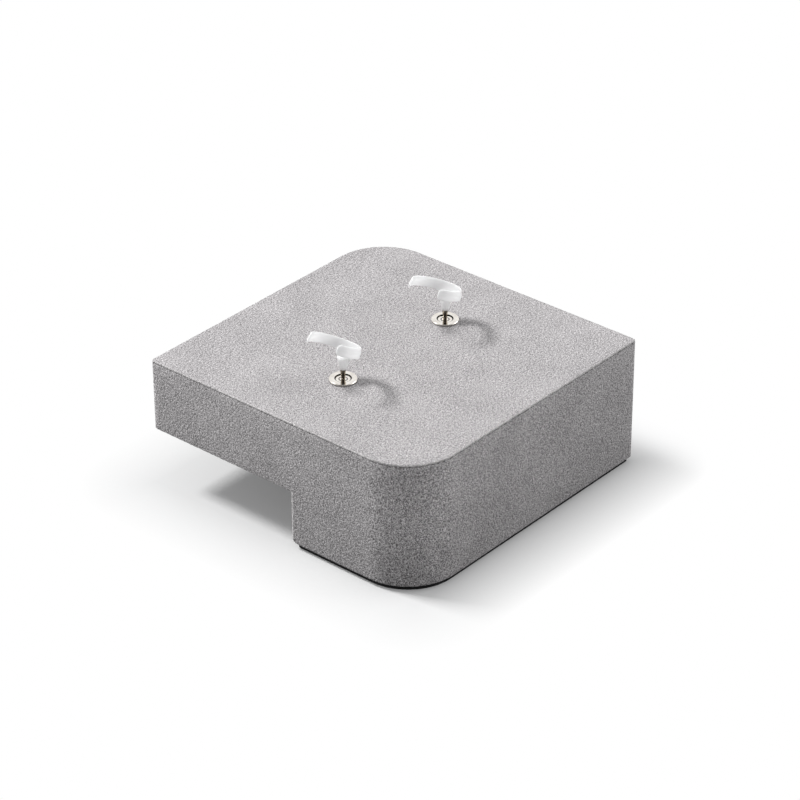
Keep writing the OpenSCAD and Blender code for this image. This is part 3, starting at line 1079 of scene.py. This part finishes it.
# %% Fibreboard
FIBREBOARD_COLOURS = [(0.34, (0.30, 0.205, 0.12)), (0.5, (0.46, 0.335, 0.21)), (0.66, (0.60, 0.47, 0.32))]
board_finish, tree, face = start_finish("fibreboard", Roughness=0.85)
marks = place_group(tree, speckle, Grain_per_mm=1.4, Patch_per_mm=0.05)
pressed = ramp(tree, marks.outputs["Tone"], FIBREBOARD_COLOURS)
chips = dust(tree, marks, 0.4, (0.2, 0.13, 0.07, 1), pressed)
paint(tree, face, chips, marks.outputs["Tone"], 0.92, 0.75)
raise_surface(tree, face, marks.outputs["Height"], 0.15 * MM, 0.4)
for node in ("top_board", "leg_board"):
    dress(node, board_finish)
print("finish", board_finish.name)

# %% Beech
BEECH_COLOURS = [(0.25, (0.46, 0.28, 0.15)), (0.6, (0.66, 0.46, 0.28)), (0.85, (0.76, 0.58, 0.38))]
beech_finish, tree, face = start_finish("beech", Roughness=0.6)
stretch = add(tree, "ShaderNodeMapping", in_Scale=(1, 1, 0.12))
tree.links.new(millimetres(tree), stretch.inputs["Vector"])
years = add(
    tree, "ShaderNodeTexWave", wave_type="RINGS", in_Scale=0.35, in_Distortion=3.0, in_Detail=2.0,
)
tree.links.new(stretch.outputs[0], years.inputs["Vector"])
long_pores = noise_layer(tree, stretch.outputs[0], None, in_Scale=3.0, in_Detail=3.0)
wood = ramp(tree, weighted_sum(tree, (years.outputs["Fac"], 0.35), (long_pores, 0.65)), BEECH_COLOURS)
paint(tree, face, wood, long_pores, 0.45, 0.75)
raise_surface(tree, face, long_pores, 0.1 * MM, 0.4)
dress("dowels", beech_finish)
print("finish", beech_finish.name)

# %% Fine rings that a lathe leaves round each holder's axis
lathe_rings, given, result = start_group("lathe_rings", [("Ring gap mm", 0.1)], ["Height"])
place_on_it = add(lathe_rings, "ShaderNodeTexCoord")
parts_of = add(lathe_rings, "ShaderNodeSeparateXYZ")
lathe_rings.links.new(place_on_it.outputs["Object"], parts_of.inputs[0])
from_middle = maths(lathe_rings, "ABSOLUTE", parts_of.outputs[0])
to_axis = maths(lathe_rings, "SUBTRACT", from_middle, holder_x[1])
radius_here = distance_of(lathe_rings, to_axis, parts_of.outputs[1])
along_profile = maths(lathe_rings, "ADD", radius_here, parts_of.outputs[2])
turns = maths(lathe_rings, "MULTIPLY", along_profile, 2 * math.pi / MM)
ringing = maths(lathe_rings, "SINE", maths(lathe_rings, "DIVIDE", turns, given.outputs[0]))
lathe_rings.links.new(ringing, result.inputs[0])
print("group", lathe_rings.name, "with", len(lathe_rings.nodes), "nodes")

# %% Brass
brass_finish, tree, face = start_finish("turned_brass", Metallic=1.0, Roughness=0.3)
marks = place_group(tree, handling, Patch_per_mm=0.5, Scratch_per_mm=2.0)
brassy = ramp(tree, marks.outputs["Smudge"], [(0.3, (0.62, 0.44, 0.18)), (0.7, (0.80, 0.62, 0.32))])
paint(tree, face, brassy, marks.outputs["Scratches"], 0.2, 0.45)
turned_marks = place_group(tree, lathe_rings, Ring_gap_mm=0.12)
raise_surface(tree, face, turned_marks.outputs["Height"], 0.004 * MM, 0.5)
for node in ("socket_1", "socket_2"):
    dress(node, brass_finish)
print("finish", brass_finish.name)

# %% [markdown]
# ## Turned steel
#
# The foot disc and the pin are small turned parts. A lathe leaves tiny rounds
# on every edge, and those rounds are what makes polished metal sparkle: they
# catch the lamp as a thin bright line. So both are built again as a profile
# with rounded corners that is spun round the axis, in the same sizes as the
# CAD solids. A number at each point, called painted_shade, says where the
# disc is painted dark, as painted shade and dark reflection in its dish, its
# groove and at the foot of its rim.

# %% Steel finishes
# The dark colour painted into the disc's recesses and rim foot as shade and dark reflection.
PAINTED_SHADE_COLOUR = (0.02, 0.016, 0.012, 1)


def steel(name, dark, pale, smooth, rough, ring_gap):
    """A polished steel, with smudges in its colour and shine and fine turning rings."""
    finish, tree, face = start_finish(name, Metallic=1.0)
    marks = place_group(tree, handling, Patch_per_mm=0.45, Scratch_per_mm=3.0)
    bright = ramp(tree, marks.outputs["Smudge"], [(0.3, dark), (0.7, pale)])
    # A point's painted_shade number mixes in a dark colour: painted shade and dark reflection.
    painted_shade = add(tree, "ShaderNodeAttribute", attribute_name="painted_shade").outputs["Fac"]
    steel_with_painted_shade = mix_colours(tree, painted_shade, bright, PAINTED_SHADE_COLOUR)
    paint(tree, face, steel_with_painted_shade, marks.outputs["Scratches"], smooth, rough)
    turned_marks = place_group(tree, lathe_rings, Ring_gap_mm=ring_gap)
    raise_surface(tree, face, turned_marks.outputs["Height"], 0.003 * MM, 0.35)
    return finish


disc_finish = steel(
    "nickel_plated_steel", dark=(0.76, 0.72, 0.67), pale=(0.88, 0.85, 0.80),
    smooth=0.08, rough=0.16, ring_gap=0.16,
)
pin_finish = steel(
    "polished_steel", dark=(0.18, 0.155, 0.12), pale=(0.32, 0.28, 0.23),
    smooth=0.16, rough=0.3, ring_gap=0.1,
)
print("finishes", disc_finish.name, pin_finish.name)

# %% Round the corners of a profile
ROUND_POINTS = 6
# A round takes up less than half of the shorter edge beside it.
EDGE_SHARE = 0.49


def ease(corners):
    """An open profile with its corners rounded, from (radius, height, rounding) corners."""
    spots = [Vector(corner[:2]) for corner in corners]
    eased = [tuple(spots[0])]
    for before, here, after, (_, _, rounding) in zip(spots, spots[1:], spots[2:], corners[1:]):
        if rounding == 0:
            eased.append(tuple(here))
            continue
        to_before, to_after = (before - here).normalized(), (after - here).normalized()
        half = to_before.angle(to_after) / 2
        longest = EDGE_SHARE * min((before - here).length, (after - here).length)
        back = min(rounding / math.tan(half), longest)
        start, end = here + to_before * back, here + to_after * back
        for k in range(ROUND_POINTS):
            t = k / (ROUND_POINTS - 1)
            eased.append(tuple((1 - t) ** 2 * start + 2 * t * (1 - t) * here + t ** 2 * end))
    return eased + [tuple(spots[-1])]


# %% Spin a profile round an upright axis
ON_AXIS = 1e-9


def spin(name, profile, x, z, finish, closed, segments=96, painted_shade=None):
    """A turned piece, from (radius, height) points in millimetres round the axis at x.

    A closed profile has a bore, and an open one starts and ends on the axis.
    painted_shade(radius, height) says how much painted shade a point gets.
    """
    vertices, faces, circles, dirt = [], [], [], []
    for radius, height in profile:
        count = 1 if radius < ON_AXIS else segments
        circles.append(list(range(len(vertices), len(vertices) + count)))
        dirt += [painted_shade(radius, height) if painted_shade else 0.0] * count
        for k in range(count):
            vertices.append((*on_circle(x, 0, radius * MM, 2 * math.pi * k / segments), z + height * MM))
    pairs = list(zip(circles, circles[1:]))
    if closed:
        pairs.append((circles[-1], circles[0]))
    for one, two in pairs:
        for k in range(segments):
            j = (k + 1) % segments
            if len(one) == 1:
                faces.append((one[0], two[j], two[k]))
            elif len(two) == 1:
                faces.append((one[k], one[j], two[0]))
            else:
                faces.append((one[k], one[j], two[j], two[k]))
    piece = make_piece(name, vertices, faces, finish)
    piece.data.attributes.new("painted_shade", "FLOAT", "POINT").data.foreach_set("value", dirt)
    set_outward(piece)
    print(name, len(piece.data.polygons), "faces")
    return piece


# %% The shape of a foot disc, in millimetres
BORE_R, DISC_R, DISC_T, DISC_BEVEL = 0.45, 4.15, 0.6, 0.15
DISH_RIM_R, DISH_FLOOR_R, DISH_Z = 2.45, 2.2, 0.3
GROOVE_R, GROOVE_HALF, GROOVE_Z = 1.2, 0.1, 0.2
# Extra points on the flats, this far from a corner, keep the flats flat under smooth shading.
BESIDE_RIM, BESIDE_FLOOR, BESIDE_GROOVE = 0.11, 0.12, 0.06
HAIR = 0.01
disc_corners = [
    (BORE_R, DISH_Z / 2, 0),
    (BORE_R, 0, 0.04),
    (DISC_R - DISC_BEVEL, 0, 0.1),
    (DISC_R, DISC_BEVEL, 0.1),
    (DISC_R, DISC_T - DISC_BEVEL, 0.15),
    (DISC_R - DISC_BEVEL, DISC_T, 0.15),
    (DISH_RIM_R + BESIDE_RIM, DISC_T, 0),
    (DISH_RIM_R, DISC_T, 0.05),
    (DISH_FLOOR_R, DISH_Z, 0.05),
    (DISH_FLOOR_R - BESIDE_FLOOR, DISH_Z, 0),
    (GROOVE_R + GROOVE_HALF + BESIDE_GROOVE, DISH_Z, 0),
    (GROOVE_R + GROOVE_HALF, DISH_Z, 0.03),
    (GROOVE_R, GROOVE_Z, 0),
    (GROOVE_R - GROOVE_HALF, DISH_Z, 0.03),
    (GROOVE_R - GROOVE_HALF - BESIDE_GROOVE, DISH_Z, 0),
    (BORE_R, DISH_Z, 0.05),
    (BORE_R, DISH_Z / 2 + HAIR, 0),
]
# How far the painted shade reaches past the dish's wall, past the groove, in from the rim and up it.
PAST_WALL, PAST_GROOVE, FROM_RIM, UP_RIM = 0.05, 0.02, 0.17, 0.2


def disc_painted_shade(radius, height):
    """Painted shade and dark reflection: full in the dish's wall and the groove, less at the rim's foot."""
    in_wall = DISH_FLOOR_R - PAST_WALL < radius < DISH_RIM_R + PAST_WALL and height > DISH_Z - HAIR
    in_groove = abs(radius - GROOVE_R) < GROOVE_HALF + PAST_GROOVE and height > GROOVE_Z - HAIR
    at_foot = radius > DISC_R - FROM_RIM and height < UP_RIM
    if in_wall or in_groove:
        return 1.0
    return 0.7 if at_foot else 0.0


# %% The shape of a pin, in millimetres
PIN_R, PIN_POINT, PIN_SHOULDER = 0.6, -10, -9
COLLAR_R, COLLAR_LOW, COLLAR_TOP = 0.9, -0.45, -0.05
NECK_R, STALK_R, STALK_LOW = 0.4, 0.58, 0.35
HEAD_R, PIN_RISE, TENON = 0.85, 3.6, 1.1
pin_corners = [
    (0, PIN_POINT, 0),
    (PIN_R, PIN_SHOULDER, 0.2),
    (PIN_R, COLLAR_LOW, 0.04),
    (COLLAR_R, COLLAR_LOW, 0.05),
    (COLLAR_R, COLLAR_TOP, 0.05),
    (NECK_R, COLLAR_TOP, 0.04),
    (NECK_R, STALK_LOW, 0.02),
    (STALK_R, STALK_LOW, 0.04),
    (HEAD_R, PIN_RISE, 0.05),
    (PIN_R, PIN_RISE, 0.03),
    (PIN_R, PIN_RISE + TENON, 0.08),
    (0, PIN_RISE + TENON, 0),
]

# %% The foot discs and the pins
for i, x in enumerate(holder_x, 1):
    disc = spin(f"steel_disc_{i}", ease(disc_corners), x, top_z, disc_finish, closed=True, painted_shade=disc_painted_shade)
    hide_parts(f"foot_disc_{i}")
    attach(disc, f"foot_{i}")
    pin = spin(f"steel_pin_{i}", ease(pin_corners), x, top_z, pin_finish, closed=False)
    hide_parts(f"pin_{i}")
    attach(pin, f"holder_{i}")

# %% [markdown]
# ## The spring clips
#
# Each clip is one moulding of frosted plastic. It has a round trumpet that
# sits on the pin, a tongue that leans back out of it and fans out, and a band
# that is open at the front and springs. The band and the tongue are one
# sheet, laid flat and then bent to a cylinder, with the same builder as the
# suede. The trumpet is turned. The two are fused by remeshing with fine
# voxels, which leaves the small soft fillets of a moulding.

# %% Frosted plastic
clip_finish, tree, face = start_finish(
    "frosted_plastic", Transmission_Weight=0.06, IOR=1.49, Coat_Weight=0.25, Coat_Roughness=0.15,
    Subsurface_Weight=1.0, Subsurface_Scale=3 * MM, Subsurface_Radius=(1.0, 1.0, 1.0),
)
marks = place_group(tree, handling, Patch_per_mm=0.35, Scratch_per_mm=1.6)
milky = ramp(tree, marks.outputs["Smudge"], [(0.3, (0.965, 0.967, 0.97)), (0.7, (0.99, 0.99, 0.99))])
paint(tree, face, milky, marks.outputs["Scratches"], 0.28, 0.42)
raise_surface(tree, face, marks.outputs["Scratches"], 0.01 * MM, 0.2)
print("finish", clip_finish.name)

# %% The sizes of a clip, in millimetres and degrees
BAND_R, CLIP_WALL, BAND_H, LEAD_IN = 7.9, 0.5, 3.2, 0.4
OPENING, END_ROUND = 85, 1.2
TONGUE_HALF, TONGUE_LEN, TONGUE_BACK, TONGUE_LIFT = 1.1, 0.8, 0.35, 0.2
FLARE_R, ROOT_R = 4.0, 0.9
FOOT_R, FOOT_BEVEL, WIDE_R, TRUMPET_H, DOME_H = 1.15, 0.15, 1.75, 3.9, 0.85
FLARE_PIECES, END_PIECES, TRUMPET_PIECES = 24, 10, 12
TRUMPET_CURVE = 1.7
LEANS = [28, 22]
BAND_Z0 = TONGUE_LEN + FLARE_R
BAND_Z1 = BAND_Z0 + BAND_H
MIDDLE_R = BAND_R - CLIP_WALL / 2
ARM = MIDDLE_R * math.radians(180 - OPENING / 2)
print("band from", BAND_Z0, "to", round(BAND_Z1, 2), "mm, each arm", round(ARM, 1), "mm long")


# %% The band and the tongue
def flat_u(across):
    """How far round the band a point lies that is so far across it."""
    return MIDDLE_R * math.asin(across / MIDDLE_R)


def clip_outline():
    """The band and tongue laid flat, anticlockwise, in metres: u goes round the band, v up it."""
    half = [(flat_u(ROOT_R), 0), (flat_u(TONGUE_HALF), TONGUE_LEN)]
    for k in range(1, FLARE_PIECES + 1):
        angle = math.pi / 2 * k / FLARE_PIECES
        across = TONGUE_HALF + FLARE_R * (1 - math.cos(angle))
        half.append((flat_u(across), TONGUE_LEN + FLARE_R * math.sin(angle)))
    for v, start in ((BAND_Z0 + END_ROUND, -90), (BAND_Z1 - END_ROUND, 0)):
        half += round_between((ARM - END_ROUND, v), END_ROUND, start, start + 90, END_PIECES)
    whole = half + [(-u, v) for u, v in reversed(half)]
    return [(u * MM, v * MM) for u, v in whole]


def clip_wrap(u, v, h):
    """Bends the flat sheet to the band's cylinder. Its upper half is drawn in a little."""
    up_the_half = (v / MM - BAND_Z0 - BAND_H / 2) / (BAND_H / 2 - CLIP_WALL / 2)
    drawn_in = min(max(up_the_half, 0), 1) * LEAD_IN * MM
    radius = (BAND_R - CLIP_WALL) * MM + h - drawn_in
    axis_x = (TONGUE_BACK + CLIP_WALL / 2 - BAND_R) * MM
    return (*on_circle(axis_x, 0, radius, u / (MIDDLE_R * MM)), v)


# %% The trumpet
def trumpet_profile():
    """(radius, height) points: a small bevel, a wall that widens upwards and a domed top."""
    points = [(0, 0), (FOOT_R - FOOT_BEVEL, 0)]
    for k in range(TRUMPET_PIECES + 1):
        t = k / TRUMPET_PIECES
        radius = FOOT_R + (WIDE_R - FOOT_R) * t ** TRUMPET_CURVE
        points.append((radius, FOOT_BEVEL + (TRUMPET_H - FOOT_BEVEL) * t))
    for k in range(1, TRUMPET_PIECES):
        angle = math.pi / 2 * k / TRUMPET_PIECES
        points.append((WIDE_R * math.cos(angle), TRUMPET_H + DOME_H * math.sin(angle)))
    return points + [(0, TRUMPET_H + DOME_H)]


# %% Fuse pieces to one skin
def fuse(name, pieces, voxel, finish):
    """Joins closed pieces to one skin with a fine voxel remesh, then smooths it a little."""
    bpy.ops.object.select_all(action="DESELECT")
    for piece in pieces:
        piece.select_set(True)
    bpy.context.view_layer.objects.active = pieces[0]
    bpy.ops.object.join()
    joined = bpy.context.view_layer.objects.active
    joined.name = name
    remesh = joined.modifiers.new("remesh", "REMESH")
    remesh.mode = "VOXEL"
    remesh.voxel_size = voxel
    relax = joined.modifiers.new("relax", "SMOOTH")
    relax.factor, relax.iterations = 0.5, 3
    shape = joined.evaluated_get(bpy.context.evaluated_depsgraph_get())
    skin = bpy.data.meshes.new_from_object(shape)
    joined.modifiers.clear()
    joined.data = skin
    skin.name = name
    skin.materials.clear()
    skin.materials.append(finish)
    skin.polygons.foreach_set("use_smooth", [True] * len(skin.polygons))
    print(name, len(skin.polygons), "faces")
    return joined


# %% Make the clips
CLIP_STEP, CLIP_GAP, VOXEL = 0.3 * MM, 0.35 * MM, 0.09 * MM
clip_rim = walk_evenly(clip_outline(), CLIP_WALL / 2 * MM, CLIP_STEP)
band_u = lines((-ARM * MM, ARM * MM, CLIP_GAP))
band_v = lines((0, BAND_Z1 * MM, CLIP_GAP))
lift = Matrix.Translation((0, 0, TONGUE_LIFT * MM))
for i, (x, lean) in enumerate(zip(holder_x, LEANS), 1):
    shell = soft_sheet(
        f"shell_{i}", [clip_rim], band_u, band_v, clip_wrap, CLIP_WALL * MM, clip_finish, both_sides=True,
    )
    shell.data.transform(lift @ Matrix.Rotation(math.radians(lean), 4, "Y"))
    trumpet = spin(f"trumpet_{i}", trumpet_profile(), 0, 0, clip_finish, closed=False, segments=72)
    clip = fuse(f"spring_clip_{i}", [shell, trumpet], VOXEL, clip_finish)
    clip.data.transform(Matrix.Translation((x, 0, top_z + PIN_RISE * MM)))
    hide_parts(f"clip_{i}")
    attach(clip, f"holder_{i}")
